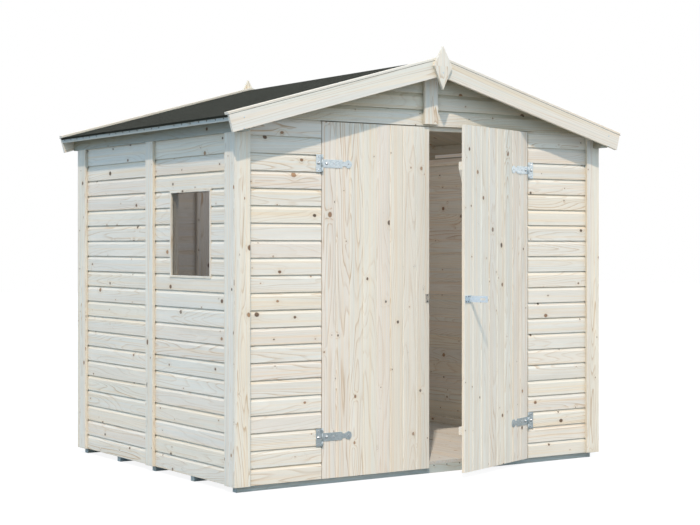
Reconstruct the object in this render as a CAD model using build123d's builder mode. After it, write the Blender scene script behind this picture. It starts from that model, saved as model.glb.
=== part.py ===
from build123d import *
import math
import os

os.makedirs("parts", exist_ok=True)

# A wooden garden shed of panels clad with horizontal boards, with a double door in the front gable,
# one small window on the left, a felted ridge roof and five bearers on the ground.
# Millimetres, +X to the right of somebody who faces the doors, +Y to the rear, +Z up.
# The origin is on the ground at the centre of the floor plan, under the middle bearer.

# Overall sizes, over the outer faces of the cladding. The board lines stand whole covers above line zero.
wall_width = 2402.0
wall_depth = 1857.0
board_cover_width = 88.0
side_courses = 20
line_zero_height = 29.0
side_top_extra_height = 11.0
wall_bottom = 31.0

# Timber sections
cladding_thickness = 16.0
lip_depth = 8.0
bevel_height = 20.0
stud_width = 44.0
stud_depth = 28.0
cover_thickness = 17.0
cover_width = 91.0
side_cover_width = 89.0
batten_width = 86.0
bearer_width = 38.0
bearer_height = 48.0
bearer_count = 5
floor_thickness = 16.0

# Roof
roof_pitch = 15.4
plate_height = 82.0
plate_thickness = 45.0
ridge_width = 45.0
ridge_height = 62.0
roof_board_thickness = 16.0
felt_thickness = 3.0
felt_lip_height = 8.0
eave_overhang_length = 77.0
fascia_thickness = 16.0
fascia_height = 29.0
front_overhang_length = 106.0
rear_overhang_length = 90.0
barge_thickness = 18.0
barge_height = 90.0
barge_end_length = 98.0
cap_thickness = 14.0
cap_width = 38.0
cap_end_length = 3.0
finial_thickness = 17.0
finial_half_width = 60.0
finial_height = 233.0
finial_shoulder_drop = 107.0
finial_rise_height = 66.0

# Doorway and doors
doorway_width = 1391.0
door_gap = 5.0
door_thickness = 18.0
leaf_board_count = 8
groove_width = 4.0
groove_depth = 4.0
head_course = 21
head_extra_height = 2.0
door_bottom_height = 31.0
stop_height = 24.0
side_stop_width = 12.0
stop_end_gap = 3.0
lintel_height = 44.0
ledge_height = 43.0
ledge_thickness = 20.0
ledge_end_gap = 24.0
ledge_meeting_gap = 2.0
brace_width = 43.0
upper_ledge_drop = 217.0
lower_ledge_rise = 221.0
rest_opening = 21.0
king_post_lap_length = 9.0

# Hinges
upper_hinge_drop = 216.0
lower_hinge_rise = 215.0
hinge_axis_distance = 5.5
barrel_radius = 5.5
pin_radius = 3.0
pin_clearance = 0.15
knuckle_gap = 0.5
hinge_plate_height = 91.0
hinge_plate_length = 36.0
strap_length = 185.0
strap_width = 42.0
strap_neck_width = 24.0
strap_neck_length = 20.0
metal_thickness = 2.5

# Hasp and staple
hasp_height = 950.0
hasp_metal_thickness = 2.0
hasp_plate_width = 48.0
hasp_plate_height = 40.0
hasp_edge_gap = 3.0
hasp_barrel_radius = 4.0
hasp_pin_radius = 2.0
hasp_leaf_length = 103.0
hasp_leaf_height = 34.0
hasp_leaf_offset = 1.0
hasp_slot_length = 30.0
hasp_slot_height = 12.0
hasp_slot_end = 14.0
hasp_knuckle_height = 18.0
staple_plate_width = 24.0
staple_plate_height = 46.0
staple_wire_radius = 2.0
staple_leg_length = 10.0
staple_wire_offset = 8.0

# Window in the front panel of the left wall
window_first_course = 12
window_courses = 5
window_front_distance = 257.0
window_width = 452.0
window_sill_drop = 21.0
lining_thickness = 12.0
lining_proud_height = 3.0
pane_thickness = 4.0
pane_recess_depth = 11.0

# Joint between two wall panels
panel_joint_gap = 2.0

# Places worked out from the sizes above
left_x = -wall_width / 2
front_y = -wall_depth / 2
rear_y = wall_depth / 2
slope = math.tan(math.radians(roof_pitch))
slope_cos = math.cos(math.radians(roof_pitch))
slope_sin = math.sin(math.radians(roof_pitch))
side_top = line_zero_height + side_courses * board_cover_width + side_top_extra_height
floor_top = bearer_height + floor_thickness
roof_at_wall = side_top + plate_height
apex = roof_at_wall - left_x * slope
gable_bottom = line_zero_height + head_course * board_cover_width + head_extra_height
door_top = gable_bottom - door_gap
stud_inner = cladding_thickness + stud_depth
stop_face = door_thickness + door_gap
doorway_left = -doorway_width / 2
post_left = doorway_left - stud_width
ridge_bottom = apex - ridge_height
plate_inner = left_x - cover_thickness + plate_thickness
leaf_width = (doorway_width - 3 * door_gap) / 2
upper_ledge_height = door_top - upper_ledge_drop
lower_ledge_height = door_bottom_height + lower_ledge_rise
hinge_heights = (door_bottom_height + lower_hinge_rise, door_top - upper_hinge_drop)
hinge_x = doorway_left + door_gap / 2
hinge_y = front_y - hinge_axis_distance


def block(x_range, y_range, z_range, mode=Mode.ADD):
    """A squared timber between three pairs of faces, in the part that is being built."""
    centre = [sum(pair) / 2 for pair in (x_range, y_range, z_range)]
    size = [max(pair) - min(pair) for pair in (x_range, y_range, z_range)]
    with Locations(tuple(centre)):
        Box(*size, mode=mode)


def both_sides(x_range):
    """The same stretch on the left and mirrored on the right."""
    return [x_range, (-x_range[1], -x_range[0])]


def both_ends(y_range):
    """The same stretch at the front and mirrored at the rear."""
    return [y_range, (-y_range[1], -y_range[0])]


def roof_ends(start, end):
    """A stretch measured from the front face of the bargeboards, and the mirrored one at the rear."""
    front_face = front_y - front_overhang_length
    rear_face = rear_y + rear_overhang_length
    return [(front_face + start, front_face + end), (rear_face - end, rear_face - start)]


def roof_under(x):
    """Height of the underside of the roof boards at a distance x from the ridge."""
    return apex - abs(x) * slope


def roof_point(across, above, side=-1):
    """A point of the roof's section: across from the ridge at the underside, above it at right angles."""
    x = across + above * slope_sin
    return (side * x, apex - across * slope + above * slope_cos)


def slope_band(low, high, end, side):
    """Outline of a layer of the roof between two heights over the underside, cut square at the eave."""
    ridge_low = (0, apex + low / slope_cos)
    ridge_high = (0, apex + high / slope_cos)
    foot_low = roof_point(end, low, side)
    foot_high = roof_point(end, high, side)
    return [ridge_low, ridge_high, foot_high, foot_low]


def extrude_along_y(outline, y_range, mode=Mode.ADD):
    """A length of one section, drawn in X and Z and drawn out along Y."""
    with BuildSketch(Plane.XZ.offset(-y_range[0])) as section:
        with BuildLine():
            Polyline(*outline, close=True)
        make_face()
    extrude(section.sketch, amount=-(y_range[1] - y_range[0]), mode=mode)


def extrude_along_x(outline, x_range):
    """A length of one section, drawn in Y and Z and drawn out along X."""
    with BuildSketch(Plane.YZ.offset(x_range[0])) as section:
        with BuildLine():
            Polyline(*outline, close=True)
        make_face()
    extrude(section.sketch, amount=x_range[1] - x_range[0])


def cladding_section(outer, inward, bottom, top, bevelled_top=False):
    """Section of the cladding: at each line the lip of a board stands over the bevel of the one below.

    outer is the place of the outer face, and inward is 1 or -1, towards the inside.
    """
    deep = outer + inward * lip_depth
    inner = outer + inward * cladding_thickness
    section = [(inner, bottom), (outer, bottom)]
    line = line_zero_height + board_cover_width
    while line < top - board_cover_width / 2:
        if line > bottom + board_cover_width / 2:
            section += [(outer, line - bevel_height), (deep, line), (outer, line)]
        line += board_cover_width
    if bevelled_top:
        section += [(outer, top - bevel_height), (deep, top), (inner, top)]
    else:
        section += [(outer, top), (inner, top)]
    return section


def keep(builder, name):
    """Label a finished piece and write it to its own file."""
    builder.part.label = name
    export_step(builder.part, f"parts/{name}.step")


# Bearers and floor
floor_y = (front_y + stop_face, rear_y - cladding_thickness)
floor_x = (left_x + cladding_thickness, -left_x - cladding_thickness)
bearer_pitch = (floor_y[1] - floor_y[0] - bearer_width) / (bearer_count - 1)

with BuildPart() as bearers:
    for index in range(bearer_count):
        start = floor_y[0] + index * bearer_pitch
        block(floor_x, (start, start + bearer_width), (0, bearer_height))
keep(bearers, "bearers")

with BuildPart() as floor_boards:
    block(floor_x, floor_y, (bearer_height, floor_top))
keep(floor_boards, "floor_boards")

# Front wall beside the doorway, notched for the eaves plates
front_board_y = (front_y, front_y + cladding_thickness)


def front_panel(panel_x, notch_x):
    """Cladding between a corner and the doorway, notched at its upper corner for the eaves plate."""
    extrude_along_x(cladding_section(front_y, 1, wall_bottom, gable_bottom, True), panel_x)
    block(notch_x, front_board_y, (side_top, gable_bottom), mode=Mode.SUBTRACT)


with BuildPart() as front_wall_left:
    front_panel((left_x, doorway_left), (left_x, plate_inner))
keep(front_wall_left, "front_wall_left")

with BuildPart() as front_wall_right:
    front_panel((-doorway_left, -left_x), (-plate_inner, -left_x))
keep(front_wall_right, "front_wall_right")


def gable(outer, inward, bottom, y_range):
    """Boards of a gable from the head of the wall to the roof, in two halves, notched for the ridge beam."""
    half_ridge = ridge_width / 2
    half_joint = panel_joint_gap / 2
    outline = [
        (plate_inner, bottom),
        (plate_inner, roof_under(plate_inner)),
        (-half_ridge, roof_under(half_ridge)),
        (-half_ridge, ridge_bottom),
        (half_ridge, ridge_bottom),
        (half_ridge, roof_under(half_ridge)),
        (-plate_inner, roof_under(plate_inner)),
        (-plate_inner, bottom),
    ]
    extrude_along_x(cladding_section(outer, inward, bottom, apex), (plate_inner, -plate_inner))
    extrude_along_y(outline, y_range, mode=Mode.INTERSECT)
    block((-half_joint, half_joint), y_range, (bottom, ridge_bottom), mode=Mode.SUBTRACT)


with BuildPart() as front_gable:
    gable(front_y, 1, gable_bottom, front_board_y)
keep(front_gable, "front_gable")

# Rear wall of three panels, with its gable above
rear_board_y = (rear_y - cladding_thickness, rear_y)
rear_joints = [left_x, left_x / 3, -left_x / 3, -left_x]

with BuildPart() as rear_wall:
    for index in range(3):
        panel_x = (rear_joints[index] + panel_joint_gap / 2, rear_joints[index + 1] - panel_joint_gap / 2)
        if index == 0:
            panel_x = (left_x, panel_x[1])
        if index == 2:
            panel_x = (panel_x[0], -left_x)
        extrude_along_x(cladding_section(rear_y, -1, wall_bottom, side_top, True), panel_x)
keep(rear_wall, "rear_wall")

with BuildPart() as rear_gable:
    gable(rear_y, -1, side_top, rear_board_y)
keep(rear_gable, "rear_gable")

# Side walls, each of two panels between the end walls
side_board_y = (front_board_y[1], rear_board_y[0])
left_board_x = (left_x, left_x + cladding_thickness)
window_y = (front_y + window_front_distance, front_y + window_front_distance + window_width)
left_section = cladding_section(left_x, 1, wall_bottom, side_top)
right_section = cladding_section(-left_x, -1, wall_bottom, side_top)
window_line = line_zero_height + window_first_course * board_cover_width
window_z = (window_line - window_sill_drop, window_line + window_courses * board_cover_width)

with BuildPart() as left_wall_front:
    extrude_along_y(left_section, (side_board_y[0], -panel_joint_gap / 2))
    block(left_board_x, window_y, window_z, mode=Mode.SUBTRACT)
keep(left_wall_front, "left_wall_front")

with BuildPart() as left_wall_rear:
    extrude_along_y(left_section, (panel_joint_gap / 2, side_board_y[1]))
keep(left_wall_rear, "left_wall_rear")

with BuildPart() as right_wall:
    for panel_y in both_ends((side_board_y[0], -panel_joint_gap / 2)):
        extrude_along_y(right_section, panel_y)
keep(right_wall, "right_wall")

# Studs and rails inside the cladding
end_stud_x = (left_x + cladding_thickness, left_x + cladding_thickness + stud_width)
front_stud_y = (front_board_y[1], front_board_y[1] + stud_depth)
rear_stud_y = (rear_board_y[0] - stud_depth, rear_board_y[0])
side_stud_x = (left_x + cladding_thickness, left_x + stud_inner)
side_stud_y = (front_stud_y[1], front_stud_y[1] + stud_width)
rail_bottom_z = (floor_top, floor_top + stud_width)
rail_top_z = (side_top - stud_width, side_top)
stud_z = (floor_top, side_top)
post_z = (floor_top, gable_bottom)

with BuildPart() as front_rear_studs:
    for stretch in both_sides(end_stud_x):
        block(stretch, front_stud_y, stud_z)
        block(stretch, rear_stud_y, stud_z)
    for stretch in both_sides((post_left, doorway_left)):
        block(stretch, front_stud_y, post_z)
    for joint_x in rear_joints[1:3]:
        block((joint_x - stud_width, joint_x + stud_width), rear_stud_y, stud_z)
keep(front_rear_studs, "front_rear_studs")

with BuildPart() as side_studs:
    for stretch in both_sides(side_stud_x):
        for end_y in both_ends(side_stud_y):
            block(stretch, end_y, stud_z)
        block(stretch, (-stud_width, stud_width), stud_z)
keep(side_studs, "side_studs")

rear_bays = [
    (end_stud_x[1], rear_joints[1] - stud_width),
    (rear_joints[1] + stud_width, rear_joints[2] - stud_width),
    (rear_joints[2] + stud_width, -end_stud_x[1]),
]
lintel_x = left_x + (lintel_height + gable_bottom - roof_at_wall) / slope

with BuildPart() as front_rear_rails:
    for stretch in both_sides((end_stud_x[1], post_left)):
        block(stretch, front_stud_y, rail_bottom_z)
        block(stretch, front_stud_y, rail_top_z)
    for stretch in rear_bays:
        block(stretch, rear_stud_y, rail_bottom_z)
        block(stretch, rear_stud_y, rail_top_z)
    block((lintel_x, -lintel_x), front_stud_y, (gable_bottom, gable_bottom + lintel_height))
keep(front_rear_rails, "front_rear_rails")

with BuildPart() as side_rails:
    for stretch in both_sides(side_stud_x):
        for bay in both_ends((side_stud_y[1], -stud_width)):
            block(stretch, bay, rail_bottom_z)
            block(stretch, bay, rail_top_z)
keep(side_rails, "side_rails")

# Roof timbers
barge_ends = roof_ends(0, barge_thickness)
beam_y = (barge_ends[0][1], barge_ends[1][0])

with BuildPart() as wall_plates:
    for plate_side in (-1, 1):
        plate_outer = left_x - cover_thickness
        plate_outline = [
            (plate_side * -plate_outer, side_top),
            (plate_side * -plate_outer, roof_under(plate_outer)),
            (plate_side * -plate_inner, roof_under(plate_inner)),
            (plate_side * -plate_inner, side_top),
        ]
        extrude_along_y(plate_outline, beam_y)
keep(wall_plates, "wall_plates")

with BuildPart() as ridge_beam:
    half_ridge = ridge_width / 2
    ridge_outline = [
        (-half_ridge, ridge_bottom),
        (-half_ridge, roof_under(half_ridge)),
        (0, apex),
        (half_ridge, roof_under(half_ridge)),
        (half_ridge, ridge_bottom),
    ]
    extrude_along_y(ridge_outline, beam_y)
keep(ridge_beam, "ridge_beam")

# Roof boards, felt and the strips along the eaves
board_end = -left_x + eave_overhang_length
fascia_end = board_end + fascia_thickness
felt_low = roof_board_thickness
felt_high = roof_board_thickness + felt_thickness
felt_end = fascia_end + felt_thickness

for roof_side, side_name in ((-1, "left"), (1, "right")):
    with BuildPart() as roof_boards:
        extrude_along_y(slope_band(0, roof_board_thickness, board_end, roof_side), beam_y)
    keep(roof_boards, f"roof_boards_{side_name}")

    with BuildPart() as roof_felt:
        felt_outline = [
            (0, apex + felt_low / slope_cos),
            (0, apex + felt_high / slope_cos),
            roof_point(felt_end, felt_high, roof_side),
            roof_point(felt_end, felt_low - felt_lip_height, roof_side),
            roof_point(fascia_end, felt_low - felt_lip_height, roof_side),
            roof_point(fascia_end, felt_low, roof_side),
        ]
        extrude_along_y(felt_outline, beam_y)
    keep(roof_felt, f"roof_felt_{side_name}")

with BuildPart() as eave_fascias:
    for roof_side in (-1, 1):
        fascia_low = roof_board_thickness - fascia_height
        fascia_outline = [
            roof_point(board_end, fascia_low, roof_side),
            roof_point(board_end, roof_board_thickness, roof_side),
            roof_point(fascia_end, roof_board_thickness, roof_side),
            roof_point(fascia_end, fascia_low, roof_side),
        ]
        extrude_along_y(fascia_outline, beam_y)
keep(eave_fascias, "eave_fascias")

# Bargeboards with cap strips along their upper edges, and a diamond finial over each apex
barge_foot = -left_x + barge_end_length - felt_high * slope_sin

for roof_side, side_name in ((-1, "left"), (1, "right")):
    with BuildPart() as bargeboards:
        barge_outline = slope_band(felt_high - barge_height, felt_high, barge_foot, roof_side)
        for end_y in barge_ends:
            extrude_along_y(barge_outline, end_y)
    keep(bargeboards, f"{side_name}_bargeboards")

    with BuildPart() as cap_strips:
        cap_outline = slope_band(felt_high, felt_high + cap_thickness, barge_foot + cap_end_length, roof_side)
        for end_y in roof_ends(0, cap_width):
            extrude_along_y(cap_outline, end_y)
    keep(cap_strips, f"{side_name}_cap_strips")

finial_top = apex + felt_high / slope_cos + finial_rise_height

with BuildPart() as finials:
    finial_outline = [
        (0, finial_top),
        (finial_half_width, finial_top - finial_shoulder_drop),
        (0, finial_top - finial_height),
        (-finial_half_width, finial_top - finial_shoulder_drop),
    ]
    for end_y in roof_ends(-finial_thickness, 0):
        extrude_along_y(finial_outline, end_y)
keep(finials, "finials")

# Cover boards over corners and panel joints
cover_front_y = (front_y - cover_thickness, front_y)
corner_x = (left_x - cover_thickness, left_x - cover_thickness + cover_width)
side_cover_x = (left_x - cover_thickness, left_x)

with BuildPart() as end_corner_boards:
    for corner_side in (-1, 1):
        corner_outline = [
            (corner_side * -corner_x[0], wall_bottom),
            (corner_side * -corner_x[0], side_top),
            (corner_side * -plate_inner, side_top),
            (corner_side * -plate_inner, roof_under(plate_inner)),
            (corner_side * -corner_x[1], roof_under(corner_x[1])),
            (corner_side * -corner_x[1], wall_bottom),
        ]
        for end_y in both_ends(cover_front_y):
            extrude_along_y(corner_outline, end_y)
keep(end_corner_boards, "end_corner_boards")

with BuildPart() as side_corner_boards:
    for stretch in both_sides(side_cover_x):
        for end_y in both_ends((front_y, front_y + side_cover_width)):
            block(stretch, end_y, (wall_bottom, side_top))
keep(side_corner_boards, "side_corner_boards")

with BuildPart() as joint_battens:
    for stretch in both_sides(side_cover_x):
        block(stretch, (-batten_width / 2, batten_width / 2), (wall_bottom, side_top))
    for joint_x in rear_joints[1:3]:
        batten_x = (joint_x - batten_width / 2, joint_x + batten_width / 2)
        block(batten_x, both_ends(cover_front_y)[1], (wall_bottom, side_top))
keep(joint_battens, "joint_battens")

with BuildPart() as king_posts:
    post_x = (-cover_width / 2, cover_width / 2)
    block(post_x, cover_front_y, (gable_bottom + king_post_lap_length, ridge_bottom))
    block(post_x, both_ends(cover_front_y)[1], (side_top - king_post_lap_length, ridge_bottom))
keep(king_posts, "king_posts")

# Window: a lining through the wall and a pane fixed in it
lining_x = (left_x - lining_proud_height, left_x + stud_inner)
pane_x = (lining_x[0] + pane_recess_depth, lining_x[0] + pane_recess_depth + pane_thickness)
sight_y = (window_y[0] + lining_thickness, window_y[1] - lining_thickness)
sight_z = (window_z[0] + lining_thickness, window_z[1] - lining_thickness)

with BuildPart() as window_lining:
    block(lining_x, window_y, window_z)
    block(lining_x, sight_y, sight_z, mode=Mode.SUBTRACT)
keep(window_lining, "window_lining")

with BuildPart() as window_pane:
    block(pane_x, sight_y, sight_z)
keep(window_pane, "window_pane")

# Stops behind the doors
stop_y = (front_y + stop_face, front_y + stud_inner)

with BuildPart() as door_stops:
    block((doorway_left, -doorway_left), stop_y, (gable_bottom - stop_height, gable_bottom))
    side_stop_z = (floor_top, gable_bottom - stop_height - stop_end_gap)
    for stretch in both_sides((doorway_left, doorway_left + side_stop_width)):
        block(stretch, stop_y, side_stop_z)
keep(door_stops, "door_stops")

# Door leaves, drawn closed and for the left side. The right leaf is the mirrored one, swung ajar.
leaf_x = (doorway_left + door_gap, doorway_left + door_gap + leaf_width)
leaf_y = (front_y, front_y + door_thickness)
leaf_z = (door_bottom_height, door_top)
ledge_y = (leaf_y[1], leaf_y[1] + ledge_thickness)
ledge_x = (leaf_x[0] + ledge_end_gap, leaf_x[1] - ledge_meeting_gap)
right_axis = Axis((-hinge_x, hinge_y, 0), (0, 0, 1))


def door_leaf_boards():
    """Upright boards of the left leaf, with a fine V-groove at each joint on the outside."""
    block(leaf_x, leaf_y, leaf_z)
    for index in range(1, leaf_board_count):
        joint_x = leaf_x[0] + index * leaf_width / leaf_board_count
        groove = [
            (joint_x - groove_width / 2, leaf_y[0]),
            (joint_x, leaf_y[0] + groove_depth),
            (joint_x + groove_width / 2, leaf_y[0]),
        ]
        with BuildSketch(Plane.XY.offset(leaf_z[0])) as groove_section:
            with BuildLine():
                Polyline(*groove, close=True)
            make_face()
        extrude(groove_section.sketch, amount=leaf_z[1] - leaf_z[0], mode=Mode.SUBTRACT)


def door_leaf_ledges():
    """The two ledges across the back of the left leaf."""
    for height in (lower_ledge_height, upper_ledge_height):
        block(ledge_x, ledge_y, (height - ledge_height / 2, height + ledge_height / 2))


def door_leaf_brace():
    """Diagonal between the ledges, from the hinge side at the foot to the free side at the head."""
    foot_z = lower_ledge_height + ledge_height / 2
    head_z = upper_ledge_height - ledge_height / 2
    rise = head_z - foot_z
    run = ledge_x[1] - ledge_x[0]
    cut = brace_width * math.hypot(rise, run) / rise
    outline = [
        (ledge_x[0], foot_z),
        (ledge_x[0] + cut, foot_z),
        (ledge_x[1], head_z),
        (ledge_x[1] - cut, head_z),
    ]
    extrude_along_y(outline, ledge_y)


def strap_face():
    """Outline of one strap from its knuckle to the round end, with a neck before the end."""
    half = strap_width / 2
    neck = strap_neck_width / 2
    end_centre = strap_length - half
    neck_end = end_centre - math.sqrt(half ** 2 - neck ** 2)
    neck_start = neck_end - strap_neck_length
    with BuildSketch(Plane.XZ.offset(-front_y)) as face:
        with Locations(*[(hinge_x, height) for height in hinge_heights]):
            with Locations((neck_start / 2, 0)):
                Rectangle(neck_start, strap_width)
            with Locations(((neck_start + neck_end) / 2, 0)):
                Rectangle(neck_end - neck_start + neck, strap_neck_width)
            with Locations((end_centre, 0)):
                Circle(half)
    return face.sketch


def barrel_pieces(axis_point, radius, stretches):
    """Round lengths on one upright axis, such as rolled knuckles or the pin through them."""
    for low, high in stretches:
        with BuildSketch(Plane.XY.offset(low)) as round_face:
            with Locations(axis_point):
                Circle(radius)
        extrude(round_face.sketch, amount=high - low)


def bore_through(axis_point, radius, stretches):
    """The pin's hole through each length of knuckle."""
    for low, high in stretches:
        with BuildSketch(Plane.XY.offset(low)) as round_face:
            with Locations(axis_point):
                Circle(radius)
        extrude(round_face.sketch, amount=high - low, mode=Mode.SUBTRACT)


strap_knuckles = []
plate_knuckles = []
for height in hinge_heights:
    middle = (height - strap_width / 2, height + strap_width / 2)
    strap_knuckles.append((middle[0] + knuckle_gap, middle[1] - knuckle_gap))
    plate_knuckles.append((height - hinge_plate_height / 2, middle[0]))
    plate_knuckles.append((middle[1], height + hinge_plate_height / 2))


def hinge_straps():
    """Both straps of the left leaf, each with the knuckle that turns on the pin."""
    extrude(strap_face(), amount=metal_thickness)
    barrel_pieces((hinge_x, hinge_y), barrel_radius, strap_knuckles)
    bore_through((hinge_x, hinge_y), pin_radius + pin_clearance, strap_knuckles)


def hinge_plates_left():
    """Fixed plates of the left hinges, each with two knuckles and the pin riveted through them."""
    plate_x = (hinge_x - hinge_plate_length, hinge_x)
    cut_x = (hinge_x - barrel_radius - knuckle_gap, hinge_x + barrel_radius)
    plate_y = (front_y - metal_thickness, front_y)
    for height in hinge_heights:
        half_plate = hinge_plate_height / 2
        half_strap = strap_width / 2
        block(plate_x, plate_y, (height - half_plate, height + half_plate))
        block(cut_x, plate_y, (height - half_strap, height + half_strap), mode=Mode.SUBTRACT)
    barrel_pieces((hinge_x, hinge_y), barrel_radius, plate_knuckles)
    for height in hinge_heights:
        pin_z = (height - hinge_plate_height / 2, height + hinge_plate_height / 2)
        barrel_pieces((hinge_x, hinge_y), pin_radius, [pin_z])


def swung(piece):
    """A piece of the left leaf mirrored to the right one and turned to its ajar rest."""
    return piece.mirror(Plane.YZ).rotate(right_axis, rest_opening)


with BuildPart() as left_door_boards:
    door_leaf_boards()
keep(left_door_boards, "left_door_boards")

with BuildPart() as left_door_ledges:
    door_leaf_ledges()
keep(left_door_ledges, "left_door_ledges")

with BuildPart() as left_door_brace:
    door_leaf_brace()
keep(left_door_brace, "left_door_brace")

with BuildPart() as left_hinge_straps:
    hinge_straps()
keep(left_hinge_straps, "left_hinge_straps")

with BuildPart() as right_door_boards:
    add(swung(left_door_boards.part))
keep(right_door_boards, "right_door_boards")

with BuildPart() as right_door_ledges:
    add(swung(left_door_ledges.part))
keep(right_door_ledges, "right_door_ledges")

with BuildPart() as right_door_brace:
    add(swung(left_door_brace.part))
keep(right_door_brace, "right_door_brace")

with BuildPart() as right_hinge_straps:
    add(swung(left_hinge_straps.part))
keep(right_hinge_straps, "right_hinge_straps")

with BuildPart() as hinge_plates:
    hinge_plates_left()
    mirror(about=Plane.YZ)
keep(hinge_plates, "hinge_plates")

# Hasp on the right leaf, drawn with the leaf closed and then swung with it, and the staple on the left
hasp_x = door_gap / 2 + hasp_edge_gap
hasp_axis = (hasp_x + hasp_plate_width + hasp_barrel_radius, front_y - hasp_barrel_radius)
half_knuckle = hasp_knuckle_height / 2
half_hasp = hasp_plate_height / 2
hasp_middle = (hasp_height - half_knuckle, hasp_height + half_knuckle)
hasp_outer = [
    (hasp_height - half_hasp, hasp_middle[0] - knuckle_gap),
    (hasp_middle[1] + knuckle_gap, hasp_height + half_hasp),
]
slot_far = hasp_leaf_length - hasp_slot_end
slot_middle = slot_far - hasp_slot_length / 2
staple_x = hasp_axis[0] - slot_middle

with BuildPart() as hasp_closed_plate:
    hasp_y = (front_y - hasp_metal_thickness, front_y)
    block((hasp_x, hasp_axis[0]), hasp_y, (hasp_height - half_hasp, hasp_height + half_hasp))
    notch_x = (hasp_axis[0] - hasp_barrel_radius - knuckle_gap, hasp_axis[0])
    notch_z = (hasp_middle[0] - knuckle_gap, hasp_middle[1] + knuckle_gap)
    block(notch_x, hasp_y, notch_z, mode=Mode.SUBTRACT)
    barrel_pieces(hasp_axis, hasp_barrel_radius, hasp_outer)
    barrel_pieces(hasp_axis, hasp_pin_radius, [(hasp_height - half_hasp, hasp_height + half_hasp)])

with BuildPart() as hasp_plate:
    add(hasp_closed_plate.part.rotate(right_axis, rest_opening))
keep(hasp_plate, "hasp_plate")

with BuildPart() as hasp_closed_leaf:
    leaf_side = (hasp_axis[0] + hasp_leaf_offset, hasp_axis[0] + hasp_leaf_offset + hasp_metal_thickness)
    leaf_reach = (hasp_axis[1] - hasp_leaf_length, hasp_axis[1] - hasp_barrel_radius - knuckle_gap)
    leaf_rise = (hasp_height - hasp_leaf_height / 2, hasp_height + hasp_leaf_height / 2)
    block(leaf_side, leaf_reach, leaf_rise)
    block(leaf_side, (leaf_reach[1], hasp_axis[1]), hasp_middle)
    slot_y = (hasp_axis[1] - slot_far, hasp_axis[1] - slot_far + hasp_slot_length)
    slot_z = (hasp_height - hasp_slot_height / 2, hasp_height + hasp_slot_height / 2)
    block(leaf_side, slot_y, slot_z, mode=Mode.SUBTRACT)
    barrel_pieces(hasp_axis, hasp_barrel_radius, [hasp_middle])
    bore_through(hasp_axis, hasp_pin_radius + pin_clearance, [hasp_middle])

with BuildPart() as hasp_leaf:
    add(hasp_closed_leaf.part.rotate(right_axis, rest_opening))
keep(hasp_leaf, "hasp_leaf")

with BuildPart() as hasp_staple:
    half_staple = staple_plate_width / 2
    staple_z = (hasp_height - staple_plate_height / 2, hasp_height + staple_plate_height / 2)
    staple_y = (front_y - hasp_metal_thickness, front_y)
    block((staple_x - half_staple, staple_x + half_staple), staple_y, staple_z)
    leg_start = front_y - hasp_metal_thickness / 2
    leg_end = staple_y[0] - staple_leg_length
    wire_x = (staple_x - staple_wire_offset, staple_x + staple_wire_offset)
    with BuildLine(Plane.XY.offset(hasp_height)) as wire_path:
        first_leg = Line((wire_x[0], leg_start), (wire_x[0], leg_end))
        bow = RadiusArc(first_leg @ 1, (wire_x[1], leg_end), -staple_wire_offset)
        Line(bow @ 1, (wire_x[1], leg_start))
    with BuildSketch(Plane(origin=wire_path.line @ 0, z_dir=wire_path.line % 0)) as wire_section:
        Circle(staple_wire_radius)
    sweep(wire_section.sketch, path=wire_path.line)
keep(hasp_staple, "hasp_staple")
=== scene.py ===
import math
import random
from functools import partial

import bmesh
import bpy
from mathutils import Matrix, Vector


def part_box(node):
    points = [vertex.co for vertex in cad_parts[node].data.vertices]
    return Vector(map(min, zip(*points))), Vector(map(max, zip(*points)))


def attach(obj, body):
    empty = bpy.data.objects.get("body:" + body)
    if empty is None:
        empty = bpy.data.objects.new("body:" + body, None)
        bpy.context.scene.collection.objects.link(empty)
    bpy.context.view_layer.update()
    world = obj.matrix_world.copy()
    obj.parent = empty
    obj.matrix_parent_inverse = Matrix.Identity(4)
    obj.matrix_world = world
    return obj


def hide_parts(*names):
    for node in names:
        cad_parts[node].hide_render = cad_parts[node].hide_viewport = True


# A garden shed of raw planed spruce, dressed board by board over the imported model.
# Metres, in the frame of the model: +X right of somebody who faces the doors, +Y to the rear, +Z up.

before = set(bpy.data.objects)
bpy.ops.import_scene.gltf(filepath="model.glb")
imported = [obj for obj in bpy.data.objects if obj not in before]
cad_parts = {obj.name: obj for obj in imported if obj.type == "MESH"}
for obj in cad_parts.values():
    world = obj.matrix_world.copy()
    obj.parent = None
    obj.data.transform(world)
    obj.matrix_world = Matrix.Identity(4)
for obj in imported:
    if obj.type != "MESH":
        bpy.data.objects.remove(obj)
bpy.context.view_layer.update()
random.seed(7)

# Camera at the photograph's viewing angle
camera_place = (-5.0229, -7.6495, 1.2404)
camera_turn = math.radians(-33.8436)
camera_lens = 79.76
camera_shift = (-0.00036, -0.02594)

# Light: a warm sun from the front left, a cool sky, a wide weak fill from the right and a lamp in the room
sun_direction = Vector((0.396, 0.498, -0.772))
sun_strength = 2.54
sun_colour = (1.0, 0.84, 0.70)
sun_softness = math.radians(1.2)
fill_direction = Vector((-0.87, 0.25, -0.42))
fill_strength = 0.5
fill_colour = (1.0, 0.97, 0.92)
fill_softness = math.radians(90)
sky_left = (0.53, 0.79, 1.06)
sky_right = (0.68, 0.80, 0.90)
room_light = 10.3
room_colour = (0.86, 0.88, 1.0)
room_softness = 0.3
room_place = (-0.15, 0.1, 1.75)

# The pale floor: what it gives back, what it shows in gloss, and how the camera sees it
floor_size = 60.0
floor_lit = (0.3, 0.31, 0.32, 1.0)
floor_in_gloss = (0.17, 0.18, 0.17, 1.0)
floor_seen = (0.14, 0.14, 0.14, 1.0)
floor_glow = 0.9
white = (1.0, 1.0, 1.0, 1.0)

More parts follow.
